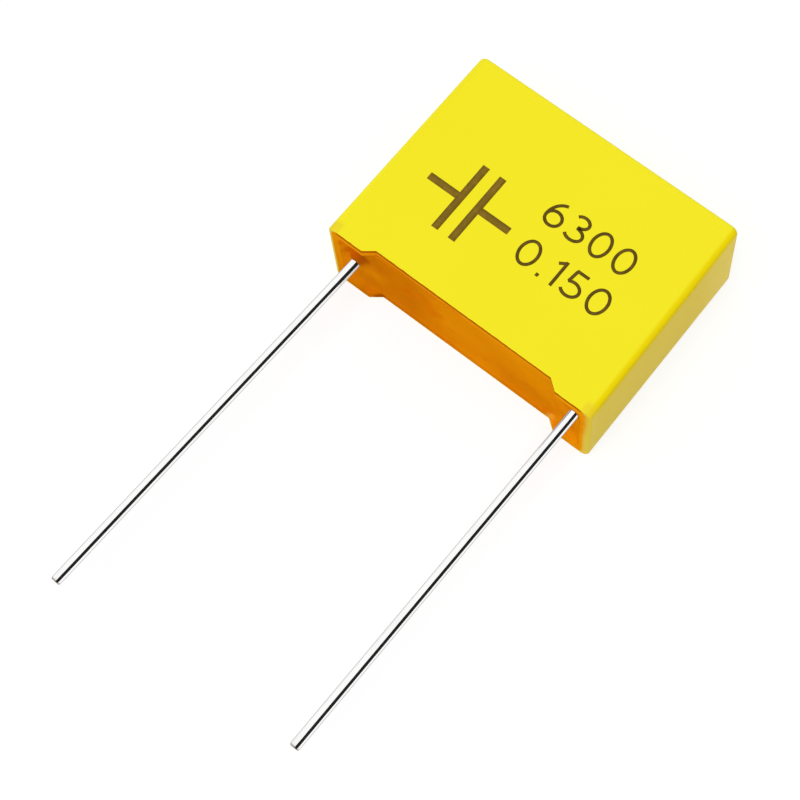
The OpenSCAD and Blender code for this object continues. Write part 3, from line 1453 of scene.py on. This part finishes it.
@dataclass
class Marking:
    """Ink on the marked face: a plain circuit sign for a capacitor and two rows of plain digits."""

    ink: float = 0.012 * MM
    below: float = 0.0006 * MM
    lap: float = 0.0004 * MM
    stroke: float = 0.45 * MM
    plate: float = 4.6 * MM
    gap: float = 1.15 * MM
    stub: float = 2.2 * MM
    sign_at: Point = (-3.75 * MM, -0.95 * MM)
    digit_height: float = 1.70 * MM
    numerals: Numerals = Numerals()
    rows: tuple[Row, ...] = (Row("6300", -0.15 * MM, 5.6 * MM, 0.58 * MM),
                             Row("0.150", 0.0, 5.95 * MM, -2.14 * MM))

    def tree(self) -> Tree:
        """The rule for drawn strokes: each line swept by a flat section.

        Returns:
            The tree.
        """
        graph = ShapeGraph("ink_stroke")
        width, depth = graph.ask("Width", "Depth")
        return graph.finish(graph.ribbon(graph.given("Geometry"), width, depth))

    def sign(self) -> list[Stroke]:
        """Draws the sign.

        Returns:
            The strokes of its two plates, with a lead from each.
        """
        strokes = []
        at_x, at_y = self.sign_at
        for end in (-1, 1):
            near = at_x + end * self.gap / 2
            strokes.append([(near, at_y + s * self.plate / 2) for s in (-1, 1)])
            strokes.append([(near + end * run, at_y) for run in (self.stroke / 2, self.stub)])
        return strokes

    def place(self, row: Row) -> list[Stroke]:
        """Draws a row of digits where it belongs.

        Args:
            row: The row.

        Returns:
            Its strokes.
        """
        width, lines = self.numerals.row(row.digits)
        scale = (row.right - row.left) / width
        return [[(row.left + x * scale, row.base + y * self.digit_height) for x, y in line]
                for line in lines]

    def lay(self, name: str, strokes: list[Stroke], width: float, lap: float,
            ink: MarkingInk) -> None:
        """Makes strokes of ink, a hair below the top of the case's box. They ride with the case.

        Args:
            name: The piece's name.
            strokes: The middle lines.
            width: Their width.
            lap: How much lower each stroke lies than the one before it, where they overlap.
            ink: The ink.
        """
        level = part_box("case")[1].z - self.below - self.ink / 2
        paths = [[Vector((x, y, level - i * lap)) for x, y in line]
                 for i, line in enumerate(strokes)]
        piece, material = new_object(name, path_mesh(name, paths)), ink.material()
        grow(piece, self.tree(), Width=width, Depth=self.ink, Material=material)
        fix_normals(piece.data)
        stand_in(piece, Slot.INK, material)

    def build(self) -> None:
        """Prints the sign and the rows."""
        self.lay("capacitor_sign", self.sign(), self.stroke, 0.0, THIN_INK)
        pen = self.numerals.pen * self.digit_height
        for number, row in enumerate(self.rows, 1):
            self.lay(f"digits_{number}", self.place(row), pen, self.lap, FULL_INK)


# -------------------------------------------------------------------- studio


@dataclass
class Studio:
    """A white floor, one broad lamp, an even sky and a dark side that only gloss shows."""

    floor_radius: float = 0.5
    floor_sides: int = 96
    floor_gap: float = 0.02 * MM
    floor_glow: float = 0.74
    floor_lit: Colour = (0.86, 0.86, 0.86)
    floor_seen: Colour = (0.28, 0.28, 0.28)
    sky: float = 0.535
    lamp_from: Place = (0.06, -0.28, 0.96)
    lamp_distance: float = 1.0
    lamp_size: float = 0.8
    lamp_power: float = 5.9
    dark: float = 0.015
    dark_from: float = math.radians(6)
    dark_to: float = math.radians(73)
    dark_soft: float = 0.01
    dark_end: Span = (0.85, 0.75)

    def floor(self) -> None:
        """Makes the floor: a disc that is white to the camera and keeps the part's shadow."""
        work = bmesh.new()
        bmesh.ops.create_circle(work, cap_ends=True, segments=self.floor_sides,
                                radius=self.floor_radius)
        bmesh.ops.translate(work, verts=work.verts, vec=(0, 0, -self.floor_gap))
        mesh = bpy.data.meshes.new("floor")
        work.to_mesh(mesh)
        work.free()
        graph = ShaderGraph("pale_floor")
        lit, pale = (graph.make("ShaderNodeBsdfDiffuse", inputs={"Color": (*colour, 1)})
                     for colour in (self.floor_lit, self.floor_seen))
        glow = graph.make("ShaderNodeEmission", inputs={"Strength": self.floor_glow})
        white = graph.make("ShaderNodeAddShader", inputs={0: pale, 1: glow})
        mesh.materials.append(graph.end(graph.mix(self.seen(graph), lit, white)))
        new_object("floor", mesh)

    @staticmethod
    def seen(graph: Graph) -> Signal:
        """Tells what is seen from what only gives light.

        Args:
            graph: The tree that it goes to.

        Returns:
            1 for rays from the camera and for mirrored or passing ones, else 0.
        """
        path = graph.node("ShaderNodeLightPath")
        direct = graph.out(path, "Is Camera Ray") + graph.out(path, "Is Glossy Ray")
        return (direct + graph.out(path, "Is Transmission Ray")).at_most(1.0)

    def sky_light(self) -> None:
        """Makes the world: even light, white where it is seen, and dark on one side in reflections."""
        world = bpy.data.worlds.new("studio")
        world.use_nodes = True
        graph = Graph(world.node_tree)
        x, y, z = graph.split(graph.make("ShaderNodeTexCoord", output="Generated"))
        lean, soft = z.math("ARCTAN2", x), self.dark_soft
        card = (lean.step(self.dark_from - soft, self.dark_from + soft)
                * lean.step(self.dark_to + soft, self.dark_to - soft)
                * abs(y).step(*self.dark_end)
                * graph.make("ShaderNodeLightPath", output="Is Glossy Ray"))
        level = self.seen(graph) * (1 - self.sky) + self.sky
        sky = graph.make("ShaderNodeBackground", inputs={
            "Color": (1, 1, 1, 1), "Strength": level * (1 - card * (1 - self.dark))})
        graph.node("ShaderNodeOutputWorld", inputs={"Surface": sky})
        bpy.context.scene.world = world

    def lamp(self) -> None:
        """Makes the broad lamp, high on the side of the feet. It isn't mirrored in anything."""
        light = bpy.data.lights.new("broad_lamp", "AREA")
        light.shape = "DISK"
        light.size = self.lamp_size
        light.energy = self.lamp_power
        towards = Vector(self.lamp_from).normalized()
        lamp = new_object("broad_lamp", light)
        lamp.location = towards * self.lamp_distance
        lamp.rotation_mode = "QUATERNION"
        lamp.rotation_quaternion = towards.to_track_quat("Z", "Y")
        lamp.visible_glossy = False

    def build(self) -> None:
        """Makes the whole studio."""
        self.floor()
        self.sky_light()
        self.lamp()
        bpy.context.scene.view_settings.view_transform = "Standard"


@dataclass
class Camera:
    """The view from above the feet, a little to the right and turned."""

    target: Place = (-0.40 * MM, -11.31 * MM, 3.25 * MM)
    distance: float = 111.60 * MM
    azimuth: float = math.radians(-42.36)
    elevation: float = math.radians(69.76)
    roll: float = math.radians(-9.07)
    lens: float = 92.40
    nearest: float = 1 * MM
    furthest: float = 10.0

    def build(self) -> None:
        """Makes the camera and gives it to the scene."""
        level = math.cos(self.elevation)
        back = Vector((level * math.cos(self.azimuth), level * math.sin(self.azimuth),
                       math.sin(self.elevation)))
        level_up = (Vector((0, 0, 1)) - back * back.z).normalized()
        level_right = level_up.cross(back)
        up = level_up * math.cos(self.roll) - level_right * math.sin(self.roll)
        data = bpy.data.cameras.new("camera")
        data.lens = self.lens
        data.clip_start, data.clip_end = self.nearest, self.furthest
        camera = new_object("camera", data)
        axes = Matrix((up.cross(back), up, back)).transposed().to_4x4()
        camera.matrix_world = Matrix.Translation(Vector(self.target) + back * self.distance) @ axes
        bpy.context.scene.camera = camera


def main() -> None:
    """Builds the sub-assemblies and the studio in order."""
    logging.basicConfig(level=logging.INFO, format="%(name)s: %(message)s")
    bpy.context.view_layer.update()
    Camera().build()
    Studio().build()

    leads, potting, case = Leads(), Potting(), Case()
    wire_rule, tin, cast = leads.tree(), TinnedWire().material(), CastResin().material()
    wires = {side: leads.build(side, wire_rule, tin) for side in Side}
    resin = potting.build(list(wires.values()), leads.radius, cast)
    for side, wire in wires.items():
        leads.dress(wire, side, tin)
    potting.dress(resin, cast)
    case.dress(case.build())
    WoundElement().build()
    Marking().build()


if __name__ == "__main__":
    main()
